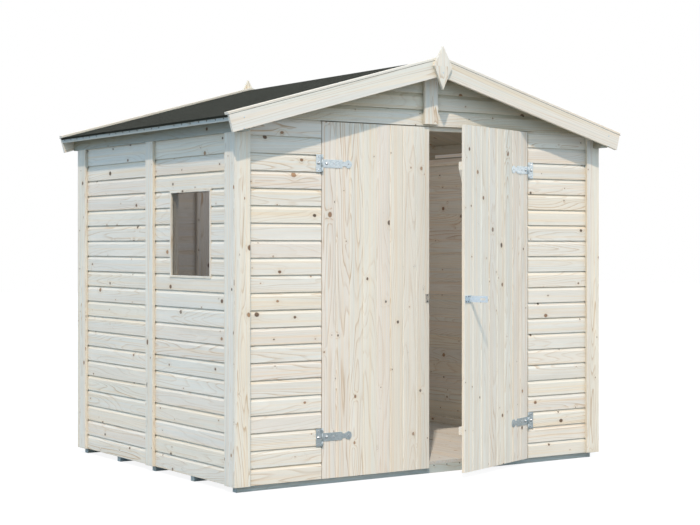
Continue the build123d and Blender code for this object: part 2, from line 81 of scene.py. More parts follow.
# Sizes of timber and felt that the pieces repeat from the model
board_cover = 0.088
first_line = 0.029
board_thickness = 0.016
fascia_height = 0.029
lip_depth = 0.008
bevel_height = 0.020
tongue_height = 0.0065
door_board_count = 8
door_thickness = 0.018
door_groove = 0.0035
door_rest_opening = math.radians(21)
ledge_height = 0.043
brace_width = 0.043
roof_pitch = math.radians(15.4)
felt_thickness = 0.003
lining_thickness = 0.012
head_stop_height = 0.024
side_stop_width = 0.012
hinge_pin_inset = 0.0055
metal_thickness = 0.0025

# Eased edges: their widths, the least corner that gets one, and how near points are joined first
timber_edge = 0.0012
rough_edge = 0.0015
cap_edge = 0.002
strap_edge = 0.0004
fine_edge = 0.0003
least_corner = math.radians(40)
weld_distance = 0.00002

# Sizes that only the pieces here have
half_panel_gap = 0.001
felt_edge_start = 0.02
felt_edge_height = 0.0015
felt_edge_short = 0.006
felt_edge_proud = 0.0004
batten_height = 0.022
batten_thickness = 0.010
batten_rise = 0.0075
batten_reach = 0.567

# Radius and rise of each kind of head
bolt_head = (0.0085, 0.0065)
screw_head = (0.0042, 0.002)
flat_screw_head = (0.0042, 0.0012)
small_screw_head = (0.0036, 0.0014)
eave_nail_head = (0.0045, 0.0012)
bearer_nail_head = (0.0035, 0.0012)

# Directions
rightward = Vector((1, 0, 0))
rearward = Vector((0, 1, 0))
up = Vector((0, 0, 1))

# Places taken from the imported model
front_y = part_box("front_wall_left")[0].y
rear_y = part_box("rear_wall")[1].y
left_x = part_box("left_wall_front")[0].x
wall_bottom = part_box("left_wall_front")[0].z
side_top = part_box("left_wall_front")[1].z
gable_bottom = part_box("front_gable")[0].z
plate_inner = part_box("front_gable")[0].x
doorway_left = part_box("front_wall_left")[1].x
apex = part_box("ridge_beam")[1].z
window_low, window_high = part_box("window_lining")
leaf_low, leaf_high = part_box("left_door_boards")
ledge_low, ledge_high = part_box("left_door_ledges")
hinge_low, hinge_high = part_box("left_hinge_straps")


def linear(red, green, blue):
    """A colour given as it looks on a screen, 0 to 255, in the renderer's own numbers."""
    values = []
    for part in (red, green, blue):
        share = part / 255
        values.append(share / 12.92 if share <= 0.04045 else ((share + 0.055) / 1.055) ** 2.4)
    return (*values, 1.0)


def link(name, data):
    """A new object in the scene."""
    shown = bpy.data.objects.new(name, data)
    bpy.context.scene.collection.objects.link(shown)
    return shown


# Materials


class Tree:
    """A short way to add nodes to a node tree and to link their sockets."""

    def __init__(self, tree):
        self.tree = tree

    def add(self, kind, inputs=None, **settings):
        node = self.tree.nodes.new(kind)
        for name, value in settings.items():
            setattr(node, name, value)
        for key, value in (inputs or {}).items():
            self.put(node, key, value)
        return node

    def put(self, node, key, value):
        socket = node.inputs[key]
        if isinstance(value, bpy.types.NodeSocket):
            self.tree.links.new(value, socket)
        else:
            socket.default_value = value

    def math(self, operation, first, second=0.0, third=0.0):
        node = self.add("ShaderNodeMath", operation=operation)
        for index, value in enumerate((first, second, third)):
            self.put(node, index, value)
        return node.outputs[0]

    def vector(self, operation, first, second=(0.0, 0.0, 0.0)):
        node = self.add("ShaderNodeVectorMath", operation=operation)
        self.put(node, 0, first)
        self.put(node, 1, second)
        return node.outputs["Value" if operation == "LENGTH" else "Vector"]

    def noise(self, vector, stretch, detail=2.0, roughness=0.5):
        scaled = self.vector("MULTIPLY", vector, stretch)
        inputs = {"Vector": scaled, "Scale": 1.0, "Detail": detail, "Roughness": roughness}
        return self.add("ShaderNodeTexNoise", inputs).outputs["Fac"]

    def random(self, value, number):
        """A random number from 0 to 1 for each value, another one for each number."""
        shifted = self.math("ADD", value, number * 7.31)
        return self.add("ShaderNodeTexWhiteNoise", {"W": shifted}, noise_dimensions="1D").outputs["Value"]

    def fade(self, value, start, end):
        inputs = {"Value": value, "From Min": start, "From Max": end}
        return self.add("ShaderNodeMapRange", inputs, interpolation_type="SMOOTHSTEP").outputs["Result"]

    def ramp(self, value, stops):
        node = self.add("ShaderNodeValToRGB", {"Fac": value})
        while len(node.color_ramp.elements) < len(stops):
            node.color_ramp.elements.new(0.5)
        for element, (place, colour) in zip(node.color_ramp.elements, stops):
            element.position = place
            element.color = colour
        return node.outputs["Color"]

    def bump(self, height, strength, distance):
        inputs = {"Strength": strength, "Distance": distance, "Height": height}
        return self.add("ShaderNodeBump", inputs).outputs[0]

    def mix(self, share, first, second, blend="MIX"):
        node = self.add("ShaderNodeMix", data_type="RGBA", blend_type=blend)
        for key, value in ((0, share), (6, first), (7, second)):
            self.put(node, key, value)
        return node.outputs[2]

    def grey(self, value):
        return self.add("ShaderNodeCombineColor", {0: value, 1: value, 2: value}).outputs[0]


def timber_group():
    """Pattern of sawn spruce: rings, fibres and knots, from a place on the board and the board's seed."""
    knot_cell = (0.24, 0.084, 1.0)
    knot_length = 1.25
    smallest_knot = 0.0038
    knot_spread = 0.0085
    seed_shift = 40.0
    hill_stretch = (0.75, 8.5, 8.5)
    hill_rings = 22.0
    most_slant = 130.0
    ring_step = 0.004

    group = bpy.data.node_groups.new("timber", "ShaderNodeTree")
    given = (("Place", "NodeSocketVector"), ("Seed", "NodeSocketFloat"), ("Knots", "NodeSocketFloat"))
    for name, kind in given:
        group.interface.new_socket(name=name, in_out="INPUT", socket_type=kind)
    for name in ("Rings", "Fibres", "Streaks", "Cloud", "Knot", "Rim", "Halo", "Knot tone", "Tone"):
        group.interface.new_socket(name=name, in_out="OUTPUT", socket_type="NodeSocketFloat")
    tree = Tree(group)
    inputs = tree.add("NodeGroupInput").outputs
    result = tree.add("NodeGroupOutput")
    place, seed = inputs["Place"], inputs["Seed"]
    shift = tree.add("ShaderNodeCombineXYZ")
    for index in range(3):
        tree.put(shift, index, tree.math("MULTIPLY", tree.random(seed, index + 1), seed_shift))
    own_place = tree.vector("ADD", place, shift.outputs[0])

    # Knots: one point in each cell of the board's face, present in a share of them
    cell_place = tree.vector("DIVIDE", own_place, knot_cell)
    cells = tree.add("ShaderNodeTexVoronoi", {"Vector": cell_place, "Scale": 1.0}, voronoi_dimensions="2D")
    away = tree.vector("SUBTRACT", cell_place, cells.outputs["Position"])
    away = tree.vector("MULTIPLY", away, (knot_cell[0] / knot_length, knot_cell[1], 0.0))
    ragged = tree.noise(own_place, (120.0, 160.0, 20.0), 2.0)
    distance = tree.math("ADD", tree.vector("LENGTH", away), tree.math("MULTIPLY", ragged, 0.004))
    chance = tree.add("ShaderNodeSeparateColor", {0: cells.outputs["Color"]}).outputs
    present = tree.math("LESS_THAN", chance[0], inputs["Knots"])
    radius = tree.math("MULTIPLY_ADD", tree.math("POWER", chance[1], 2.6), knot_spread, smallest_knot)
    reach = tree.math("DIVIDE", distance, radius)
    core = tree.math("MULTIPLY", tree.fade(reach, 1.25, 0.85), present)
    off_rim = tree.math("ABSOLUTE", tree.math("SUBTRACT", reach, 1.0))
    rim = tree.math("MULTIPLY", tree.fade(off_rim, 0.4, 0.0), present)
    bell = tree.math("EXPONENT", tree.math("MULTIPLY", tree.math("MULTIPLY", reach, reach), -0.16))
    bulge = tree.math("MULTIPLY", bell, present)

    # Growth rings: contour lines of a stretched noise, slanted more on some boards, bent round the knots
    # and faint where the noise is flat
    slant = tree.math("MULTIPLY_ADD", tree.random(seed, 5), 2.0, -1.0)
    slant = tree.math("MULTIPLY", tree.math("MULTIPLY", slant, tree.math("ABSOLUTE", slant)), most_slant)
    across = tree.add("ShaderNodeSeparateXYZ", {0: place}).outputs[1]
    hills = tree.noise(own_place, hill_stretch, 1.5, 0.4)
    wander = tree.noise(own_place, (4.0, 45.0, 45.0), 2.0)
    beside = tree.vector("ADD", own_place, (0.0, ring_step, 0.0))
    climb = tree.math("SUBTRACT", tree.noise(beside, hill_stretch, 1.5, 0.4), hills)
    climb = tree.math("MULTIPLY_ADD", climb, hill_rings, tree.math("MULTIPLY", slant, ring_step))
    steep = tree.fade(tree.math("ABSOLUTE", climb), 0.0, 0.16)
    lines = tree.math("MULTIPLY_ADD", hills, hill_rings, tree.math("MULTIPLY", across, slant))
    lines = tree.math("MULTIPLY_ADD", wander, 0.55, lines)
    lines = tree.math("MULTIPLY_ADD", bulge, 1.8, lines)
    year = tree.math("FRACT", lines)
    late = tree.math("MULTIPLY", tree.fade(year, 0.62, 0.92), tree.fade(year, 1.0, 0.93))
    early = tree.math("MULTIPLY", tree.fade(year, 0.0, 0.8), 0.18)
    late = tree.math("MAXIMUM", late, early)
    ring_tone = tree.math("MULTIPLY_ADD", tree.random(tree.math("FLOOR", lines), 6), 0.75, 0.25)
    ring_tone = tree.math("MULTIPLY", ring_tone, tree.math("MULTIPLY_ADD", tree.random(seed, 9), 0.9, 0.35))
    patch = tree.math("MULTIPLY_ADD", tree.noise(own_place, (1.3, 10.0, 10.0), 1.0), 1.3, 0.1)
    rings = tree.math("MULTIPLY", tree.math("MULTIPLY", late, ring_tone), patch)
    rings = tree.math("MULTIPLY", rings, tree.math("MULTIPLY_ADD", steep, 0.65, 0.35))

    tree.put(result, "Rings", rings)
    tree.put(result, "Fibres", tree.noise(own_place, (28.0, 1100.0, 1100.0), 2.0, 0.6))
    tree.put(result, "Streaks", tree.noise(own_place, (0.5, 65.0, 65.0), 2.0, 0.6))
    tree.put(result, "Cloud", tree.noise(own_place, (1.7, 16.0, 16.0), 3.0, 0.55))
    tree.put(result, "Knot", core)
    tree.put(result, "Rim", rim)
    tree.put(result, "Halo", bulge)
    tree.put(result, "Knot tone", chance[2])
    tree.put(result, "Tone", tree.random(seed, 8))
    return group


timber_pattern = timber_group()


def new_material(name):
    """An empty material with its output, as a Tree."""
    material = bpy.data.materials.new(name)
    material.use_nodes = True
    material.node_tree.nodes.clear()
    tree = Tree(material.node_tree)
    return material, tree, tree.add("ShaderNodeOutputMaterial")


def board_place(tree):
    """Place and seed that a board made here carries with it."""
    place = tree.add("ShaderNodeAttribute", attribute_name="grain").outputs["Vector"]
    seed = tree.add("ShaderNodeAttribute", attribute_name="seed").outputs["Fac"]
    return place, seed


def timber_place(tree, run, slope=0.0, stretch=1.0):
    """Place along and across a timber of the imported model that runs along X, Y or Z, or down a slope."""
    place = tree.add("ShaderNodeTexCoord").outputs["Object"]
    if slope:
        inputs = {"Vector": place, "Axis": (0.0, 1.0, 0.0), "Angle": slope}
        place = tree.add("ShaderNodeVectorRotate", inputs, rotation_type="AXIS_ANGLE").outputs[0]
    x, y, z = tree.add("ShaderNodeSeparateXYZ", {0: place}).outputs
    total, difference = tree.math("ADD", x, y), tree.math("SUBTRACT", x, y)
    order = {"X": (x, z, y), "Y": (y, z, x), "Z": (z, total, difference)}[run]
    combined = tree.add("ShaderNodeCombineXYZ", dict(enumerate(order))).outputs[0]
    if stretch != 1.0:
        combined = tree.vector("MULTIPLY", combined, (1 / stretch, 1.0, 1.0))
    return combined, tree.add("ShaderNodeNewGeometry").outputs["Random Per Island"]


# Tints of the timber, from one board to the next
spruce_tints = (
    (0.0, linear(239, 232, 219)),
    (0.3, linear(237, 232, 221)),
    (0.55, linear(237, 228, 216)),
    (0.8, linear(240, 232, 216)),
    (1.0, linear(234, 230, 220)),
)
treated_tints = (
    (0.0, linear(200, 209, 208)),
    (0.5, linear(194, 205, 206)),
    (1.0, linear(204, 210, 204)),
)
floor_tints = (
    (0.0, linear(216, 217, 214)),
    (0.4, linear(212, 215, 216)),
    (0.7, linear(218, 216, 210)),
    (1.0, linear(208, 212, 212)),
)
# Darker tints of the roof boards, which show only from below: painted shade of the soffit and the room
shaded_roof_tints = (
    (0.0, linear(182, 176, 160)),
    (0.5, linear(174, 168, 152)),
    (1.0, linear(186, 178, 162)),
)
pale_tints = ((0.0, linear(250, 246, 240)), (1.0, linear(248, 245, 241)))
# Greyer, darker tints of the eave fascias and wall plates: painted shade under the eaves
eave_shade_tints = (
    (0.0, linear(196, 199, 194)),
    (0.5, linear(190, 195, 192)),
    (1.0, linear(200, 201, 192)),
)

# Shade painted into the corners of the timber: its reach, the openness at which it is full, and its tone
soft_painted_shade = (0.06, 0.25, linear(230, 228, 220))
deep_painted_shade = (0.2, 0.5, linear(208, 204, 187))


def timber_material(name, where, tints=spruce_tints, knots=0.55, contrast=1.0, corners=soft_painted_shade):
    """Planed timber. where is board_place or a form of timber_place, which give the place on the board."""
    material, tree, output = new_material(name)
    place, seed = where(tree)
    inputs = {"Place": place, "Seed": seed, "Knots": knots}
    pattern = tree.add("ShaderNodeGroup", inputs, node_tree=timber_pattern).outputs
    base = tree.ramp(pattern["Tone"], tints)
    dark = tree.mix(1.0, base, linear(214, 188, 158), "MULTIPLY")
    share = tree.math("MULTIPLY", pattern["Rings"], 0.85 * contrast)
    colour = tree.mix(share, base, dark)
    cloud = tree.grey(tree.math("MULTIPLY_ADD", pattern["Cloud"], 0.22 * contrast, 1 - 0.11 * contrast))
    colour = tree.mix(1.0, colour, cloud, "MULTIPLY")
    fibres = tree.grey(tree.math("MULTIPLY_ADD", pattern["Fibres"], 0.16 * contrast, 1 - 0.08 * contrast))
    colour = tree.mix(1.0, colour, fibres, "MULTIPLY")
    streaks = ((0.3, linear(249, 253, 254)), (0.5, linear(254, 254, 253)), (0.7, linear(255, 247, 234)))
    colour = tree.mix(1.0, colour, tree.ramp(pattern["Streaks"], streaks), "MULTIPLY")
    halo = tree.math("MULTIPLY", pattern["Halo"], 0.25)
    colour = tree.mix(halo, colour, tree.mix(1.0, base, linear(230, 205, 172), "MULTIPLY"))
    knot_stops = ((0.0, linear(178, 136, 98)), (0.5, linear(116, 82, 56)), (1.0, linear(54, 40, 27)))
    knot_colour = tree.ramp(pattern["Knot tone"], knot_stops)
    colour = tree.mix(tree.math("MULTIPLY", pattern["Rim"], 0.5), colour, linear(96, 70, 48))
    colour = tree.mix(tree.math("MULTIPLY", pattern["Knot"], 0.9), colour, knot_colour)
    # Painted shade: the colour darkens where other surfaces are near, as in corners and under overhangs
    if corners:
        reach, full, tone = corners
        corner_shade = tree.add("ShaderNodeAmbientOcclusion", {"Distance": reach}, samples=2).outputs["AO"]
        corner_shade_stops = ((full, tone), (0.95, white))
        colour = tree.mix(1.0, colour, tree.ramp(corner_shade, corner_shade_stops), "MULTIPLY")
    relief = tree.math("MULTIPLY_ADD", pattern["Rings"], -0.5, pattern["Fibres"])
    relief = tree.math("MULTIPLY_ADD", pattern["Knot"], 0.6, relief)
    bump = tree.bump(relief, 0.5, 0.0004)
    roughness = tree.math("MULTIPLY_ADD", pattern["Rings"], -0.12, 0.68)
    inputs = {"Base Color": colour, "Roughness": roughness, "Normal": bump, "Specular IOR Level": 0.3}
    shader = tree.add("ShaderNodeBsdfPrincipled", inputs)
    tree.put(output, "Surface", shader.outputs[0])
    return material


def felt_material():
    """Dark roofing felt with mineral grit, and streaks down the slope."""
    material, tree, output = new_material("mineral_felt")
    place = tree.add("ShaderNodeTexCoord").outputs["Object"]
    grit = tree.add("ShaderNodeTexVoronoi", {"Vector": place, "Scale": 620.0}).outputs["Color"]
    grit = tree.add("ShaderNodeSeparateColor", {0: grit}).outputs[0]
    patches = tree.noise(place, (9.0, 2.0, 9.0), 4.0, 0.6)
    streaks = tree.noise(place, (70.0, 1.2, 70.0), 3.0, 0.6)
    grit_stops = ((0.0, linear(15, 18, 14)), (0.7, linear(33, 37, 30)), (1.0, linear(62, 66, 55)))
    colour = tree.ramp(grit, grit_stops)
    shade = tree.math("MULTIPLY_ADD", patches, 0.4, 0.5)
    shade = tree.math("MULTIPLY_ADD", streaks, 0.8, tree.math("SUBTRACT", shade, 0.1))
    colour = tree.mix(1.0, colour, tree.grey(shade), "MULTIPLY")
    relief = tree.math("MULTIPLY_ADD", streaks, 0.6, grit)
    bump = tree.bump(relief, 0.7, 0.001)
    inputs = {"Base Color": colour, "Roughness": 0.92, "Normal": bump, "Specular IOR Level": 0.15}
    shader = tree.add("ShaderNodeBsdfPrincipled", inputs)
    tree.put(output, "Surface", shader.outputs[0])
    return material


def zinc_material(name, light, dark, roughness, metallic=0.85):
    """Galvanised steel: cool grey with spangles and a dull bloom."""
    material, tree, output = new_material(name)
    place = tree.add("ShaderNodeTexCoord").outputs["Object"]
    spangle = tree.add("ShaderNodeTexVoronoi", {"Vector": place, "Scale": 190.0}).outputs["Color"]
    spangle = tree.add("ShaderNodeSeparateColor", {0: spangle}).outputs[0]
    bloom = tree.noise(place, (60.0, 60.0, 60.0), 4.0, 0.6)
    tone = tree.math("MULTIPLY_ADD", bloom, 0.6, tree.math("MULTIPLY", spangle, 0.4))
    colour = tree.ramp(tone, ((0.2, dark), (0.8, light)))
    rough = tree.math("MULTIPLY_ADD", bloom, 0.2, roughness - 0.1)
    bump = tree.bump(bloom, 0.2, 0.0003)
    inputs = {"Base Color": colour, "Roughness": rough, "Normal": bump, "Metallic": metallic}
    shader = tree.add("ShaderNodeBsdfPrincipled", inputs)
    tree.put(output, "Surface", shader.outputs[0])
    return material


def pane_material():
    """Clear thin pane: mostly see-through, with a reflection that grows towards the edge of sight."""
    material, tree, output = new_material("clear_pane")
    place = tree.add("ShaderNodeTexCoord").outputs["Object"]
    film = tree.noise(place, (3.0, 9.0, 9.0), 3.0, 0.6)
    through = tree.add("ShaderNodeBsdfTransparent", {"Color": (0.85, 0.85, 0.85, 1.0)})
    gloss = tree.add("ShaderNodeBsdfPrincipled", {"Base Color": (0.12, 0.13, 0.14, 1.0), "Roughness": 0.05})
    mirror = tree.add("ShaderNodeFresnel", {"IOR": 1.5}).outputs[0]
    share = tree.math("MULTIPLY_ADD", film, 0.02, tree.math("MULTIPLY", mirror, 0.3))
    blend = tree.add("ShaderNodeMixShader", {0: share, 1: through.outputs[0], 2: gloss.outputs[0]})
    tree.put(output, "Surface", blend.outputs[0])
    return material


spruce_board = timber_material("spruce_board", board_place)
leaf_board = timber_material("leaf_board", board_place, corners=None)
gable_board = timber_material("gable_board", board_place, corners=deep_painted_shade)
roof_board = timber_material("roof_board", board_place, shaded_roof_tints)
floor_board = timber_material("floor_board", board_place, floor_tints)
pale_batten = timber_material("pale_batten", board_place, pale_tints, 0.0, 0.3)
felt = felt_material()
zinc = zinc_material("zinc_plate", linear(228, 238, 244), linear(190, 204, 212), 0.36, 0.95)
zinc_leaf = zinc_material("zinc_leaf", linear(222, 234, 242), linear(194, 210, 222), 0.55, 0.25)
zinc_loop = zinc_material("zinc_loop", linear(214, 212, 206), linear(150, 148, 142), 0.5, 0.4)
zinc_bolt = zinc_material("zinc_bolt", linear(228, 232, 234), linear(196, 202, 206), 0.22)
nail_steel = zinc_material("nail_steel", linear(92, 92, 86), linear(54, 54, 50), 0.5)
pane = pane_material()


# Boards and timbers


def new_seed():
    """A number for the look of one board, exact in single precision."""
    return random.randrange(1, 4096) / 4096


def finished_mesh(mesh, name, material, move):
    """Mesh data from a bmesh, in its material and moved, also where the move mirrors it."""
    data = bpy.data.meshes.new(name)
    mesh.to_mesh(data)
    mesh.free()
    if move:
        data.transform(move)
        if move.determinant() < 0:
            data.flip_normals()
    data.materials.append(material)
    return data


class Boards:
    """Boards gathered in one piece. Each carries its place along, across and into the board, and a seed."""

    def __init__(self):
        self.mesh = bmesh.new()
        self.grain = self.mesh.verts.layers.float_vector.new("grain")
        self.seed = self.mesh.verts.layers.float.new("seed")

    def add(self, outline, start, end, place, cuts=(), seed=None):
        """One board from start to end along its grain. outline holds points across and into the board.

        place turns along, across and into the board into the model's frame. cuts are planes there, as a
        point and the side that goes. Pieces of one board share its seed.
        """
        seed = seed or new_seed()
        rings = []
        for along in (start, end):
            ring = []
            for across, depth in outline:
                vert = self.mesh.verts.new(place @ Vector((along, across, depth)))
                vert[self.grain] = (along, across, depth)
                vert[self.seed] = seed
                ring.append(vert)
            rings.append(ring)
        faces = [self.mesh.faces.new(rings[0]), self.mesh.faces.new(list(reversed(rings[1])))]
        count = len(outline)
        for index in range(count):
            after = (index + 1) % count
            corners = (rings[0][after], rings[0][index], rings[1][index], rings[1][after])
            faces.append(self.mesh.faces.new(corners))
        verts = rings[0] + rings[1]
        for point, outward in cuts:
            edges = list(dict.fromkeys(edge for face in faces for edge in face.edges))
            made = bmesh.ops.bisect_plane(
                self.mesh,
                geom=verts + edges + faces,
                plane_co=point,
                plane_no=outward,
                clear_outer=True,
            )
            rim = [item for item in made["geom_cut"] if isinstance(item, bmesh.types.BMEdge)]
            if rim:
                bmesh.ops.edgeloop_fill(self.mesh, edges=rim)
            verts = [vert for vert in self.mesh.verts if vert[self.seed] == seed]
            faces = list(dict.fromkeys(face for vert in verts for face in vert.link_faces))

    def piece(self, name, body, material, *replaced, slot="planed_wood", move=None):
        """The finished piece in the scene, on its body and in place of the model's nodes."""
        bmesh.ops.recalc_face_normals(self.mesh, faces=self.mesh.faces)
        shown = link(name, finished_mesh(self.mesh, name, material, move))
        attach(shown, body)
        if replaced:
            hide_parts(*replaced)


def axes(along, across, depth, origin):
    """Matrix from along, across and into a board to the model's frame."""
    matrix = Matrix((along, across, depth)).transposed().to_4x4()
    matrix.translation = origin
    return matrix


def shiplap(height, lipped=True, bevelled=True):
    """Section of a cladding board: a lip below, a long bevel above with a tongue behind the next board."""
    edge = 0.001
    groove_height = 0.008
    groove_front = 0.0082
    groove_back = 0.0128
    tongue_front = 0.0086
    tongue_back = 0.0124
    outline = [(edge, 0.0), (0.0, edge)]
    if lipped:
        outline += [(0.0, lip_depth), (groove_height, groove_front)]
        outline += [(groove_height, groove_back), (0.0, groove_back)]
    outline.append((0.0, board_thickness))
    if bevelled:
        rear_joint = height - 0.001
        front_joint = height - 0.0003
        tongue = height + tongue_height
        outline += [(rear_joint, board_thickness), (rear_joint, tongue_back), (tongue, tongue_back)]
        outline += [(tongue, tongue_front), (front_joint, tongue_front), (front_joint, lip_depth)]
        outline.append((height - bevel_height, 0.0))
    else:
        outline += [(height, board_thickness), (height, 0.0)]
    return outline


def matched(width, thickness, groove_width, groove_depth, first, last):
    """Section of a tongued and grooved board, with half a V-groove at each joint on its face."""
    middle = thickness * 0.55
    half = thickness * 0.13
    play = 0.0003
    slot_depth = 0.006
    tongue_length = 0.0052
    joint_gap = 0.0004
    edge = 0.0008
    if first:
        outline = [(0.0, thickness - edge), (0.0, edge), (edge, 0.0)]
    else:
        outline = [(0.0, thickness), (0.0, middle + half + play), (slot_depth, middle + half + play)]
        outline += [(slot_depth, middle - half - play), (0.0, middle - half - play)]
        outline += [(0.0, groove_depth), (groove_width, 0.0)]
    if last:
        outline += [(width - edge, 0.0), (width, edge), (width, thickness - edge), (width - edge, thickness)]
    else:
        side = width - joint_gap
        tongue = side + tongue_length
        outline += [(side - groove_width, 0.0), (side, groove_depth), (side, middle - half)]
        outline += [(tongue, middle - half), (tongue, middle + half), (side, middle + half)]
        outline.append((side, thickness))
    if first:
        outline.append((edge, thickness))
    return outline


def squared(width, thickness, edge=0.001):
    """Section of a planed timber with its edges eased."""
    outline = [(edge, 0.0), (width - edge, 0.0), (width, edge), (width, thickness - edge)]
    return outline + [(width - edge, thickness), (edge, thickness), (0.0, thickness - edge), (0.0, edge)]


def roof_axes(side):
    """Down a slope of the roof, and at right angles out of it. side is -1 on the left, 1 on the right."""
    down = Vector((side * math.cos(roof_pitch), 0, -math.sin(roof_pitch)))
    normal = Vector((side * math.sin(roof_pitch), 0, math.cos(roof_pitch)))
    return down, normal


def courses(bottom, top):
    """Lower and upper edge of each board between two heights, at the lines that go round the shed."""
    edges = [bottom]
    line = first_line
    while line < top - board_cover / 2:
        if line > bottom + board_cover / 2:
            edges.append(line)
        line += board_cover
    return list(zip(edges, edges[1:] + [top]))


# Along each wall, inward from its face, and a point of that face
wall_faces = {
    "front": (rightward, rearward, front_y * rearward),
    "rear": (rightward, -rearward, rear_y * rearward),
    "left": (rearward, rightward, left_x * rightward),
    "right": (rearward, -rightward, -left_x * rightward),
}


def course_place(face, low):
    """Frame of a board on a wall: along it, up, and inward from its face at its lower edge."""
    along, inward, origin = wall_faces[face]
    return axes(along, up, inward, origin + low * up)


def clad(boards, face, bottom, top, stretches, bevelled_top=False, cuts=(), seeds=None):
    """Courses of boards on one wall. stretches(low, high) gives where the boards of a course run.

    seeds gives one seed for each course, where its stretches are cut from one board.
    """
    for low, high in courses(bottom, top):
        outline = shiplap(high - low, low > wall_bottom, bevelled_top or high < top)
        for start, end in stretches(low, high):
            boards.add(outline, start, end, course_place(face, low), cuts, seeds and seeds[low])


def front_walls():
    """Cladding left and right of the doorway, its upper boards let in between the eaves plates."""
    for side, node in ((-1, "front_wall_left"), (1, "front_wall_right")):
        boards = Boards()

        def stretches(low, high, side=side):
            outer = plate_inner if high > side_top else left_x
            return [tuple(sorted((side * -outer, side * -doorway_left)))]

        clad(boards, "front", wall_bottom, gable_bottom, stretches, True)
        boards.piece(f"boards_{node}", "shed", spruce_board, node)


def gables():
    """Cladding of both gables in two panels, cut off along the underside of the roof."""
    slope = math.tan(roof_pitch)
    for face, node, bottom in (("front", "front_gable", gable_bottom), ("rear", "rear_gable", side_top)):
        boards = Boards()
        cuts = []
        for side in (-1, 1):
            cuts.append((apex * up, roof_axes(side)[1]))

        def stretches(low, high):
            reach = min(-plate_inner, (apex - low) / slope)
            return [(-reach, -half_panel_gap), (half_panel_gap, reach)]

        clad(boards, face, bottom, apex, stretches, False, cuts)
        boards.piece(f"boards_{node}", "shed", gable_board, node)


def rear_wall():
    """Cladding of the rear wall in three panels."""
    boards = Boards()
    third = left_x / 3
    panels = [
        (left_x, third - half_panel_gap),
        (third + half_panel_gap, -third - half_panel_gap),
        (-third + half_panel_gap, -left_x),
    ]
    clad(boards, "rear", wall_bottom, side_top, lambda low, high: panels, True)
    boards.piece("boards_rear_wall", "shed", spruce_board, "rear_wall")


def side_walls():
    """Cladding of both side walls in two panels each, with the boards cut round the window."""
    near = front_y + board_thickness
    far = rear_y - board_thickness

    def beside_window(low, high):
        if high > window_low.z and low < window_high.z - board_thickness:
            return [(near, window_low.y), (window_high.y, -half_panel_gap)]
        return [(near, -half_panel_gap)]

    boards = Boards()
    seeds = {low: new_seed() for low, high in courses(wall_bottom, side_top)}
    clad(boards, "left", wall_bottom, side_top, beside_window, seeds=seeds)
    under = max(low for low in seeds if low < window_low.z)
    sill_board = shiplap(window_low.z - under, True, False)
    boards.add(sill_board, window_low.y, window_high.y, course_place("left", under), seed=seeds[under])
    boards.piece("boards_left_wall_front", "shed", spruce_board, "left_wall_front")
    rear_panel = (half_panel_gap, far)
    boards = Boards()
    clad(boards, "left", wall_bottom, side_top, lambda low, high: [rear_panel])
    boards.piece("boards_left_wall_rear", "shed", spruce_board, "left_wall_rear")
    both_panels = [(near, -half_panel_gap), rear_panel]
    boards = Boards()
    clad(boards, "right", wall_bottom, side_top, lambda low, high: both_panels)
    boards.piece("boards_right_wall", "shed", spruce_board, "right_wall")


def matched_row(count, sizes, start, end, place, cuts=()):
    """Matched boards side by side from the given place on. sizes are width, thickness and grooves."""
    boards = Boards()
    for index in range(count):
        outline = matched(*sizes, index == 0, index == count - 1)
        beside = place @ Matrix.Translation((0, index * sizes[0], 0))
        boards.add(outline, start, end, beside, cuts)
    return boards


def floor():
    """Planks of the floor, from front to rear."""
    groove_width = 0.0006
    groove_depth = 0.0012
    low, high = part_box("floor_boards")
    count = round((high.x - low.x) / board_cover)
    sizes = ((high.x - low.x) / count, high.z - low.z, groove_width, groove_depth)
    place = axes(rearward, rightward, -up, Vector((low.x, 0, high.z)))
    boards = matched_row(count, sizes, low.y, high.y, place)
    boards.piece("planks_floor", "shed", floor_board, "floor_boards")


def roof():
    """Roof boards seen from below, each run over the ridge and cut off upright there."""
    groove = 0.002
    past_ridge = 0.01
    for side, name in ((-1, "left"), (1, "right")):
        low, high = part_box(f"roof_boards_{name}")
        count = round((high.y - low.y) / board_cover)
        sizes = ((high.y - low.y) / count, board_thickness, groove, groove)
        down, normal = roof_axes(side)
        reach = max(abs(low.x), abs(high.x)) - board_thickness * math.sin(roof_pitch)
        length = reach / math.cos(roof_pitch)
        place = axes(down, rearward, normal, Vector((0, low.y, apex)))
        cut = (Vector((0, 0, 0)), -side * rightward)
        boards = matched_row(count, sizes, -past_ridge, length, place, [cut])
        boards.piece(f"planks_roof_{name}", "shed", roof_board, f"roof_boards_{name}")


def window_frame():
    """Lining of four boards round the opening, the upright ones between the level ones."""
    low, high = window_low, window_high
    section = squared(lining_thickness, high.x - low.x)
    boards = Boards()
    for bottom in (low.z, high.z - lining_thickness):
        place = axes(rearward, up, rightward, Vector((low.x, 0, bottom)))
        boards.add(section, low.y, high.y, place)
    for near in (low.y, high.y - lining_thickness):
        place = axes(up, rearward, rightward, Vector((low.x, near, 0)))
        boards.add(section, low.z + lining_thickness, high.z - lining_thickness, place)
    boards.piece("lining_boards", "shed", spruce_board, "window_lining")


def stops():
    """The head stop across the doorway and the two upright ones below it."""
    low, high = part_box("door_stops")
    depth = high.y - low.y
    gap = 0.003
    boards = Boards()
    place = axes(rightward, up, rearward, Vector((0, low.y, high.z - head_stop_height)))
    boards.add(squared(head_stop_height, depth), low.x, high.x, place)
    for start in (low.x, high.x - side_stop_width):
        place = axes(up, rightward, rearward, Vector((start, low.y, 0)))
        boards.add(squared(side_stop_width, depth), low.z, high.z - head_stop_height - gap, place)
    boards.piece("stop_strips", "shed", spruce_board, "door_stops", slot="frame_wood")


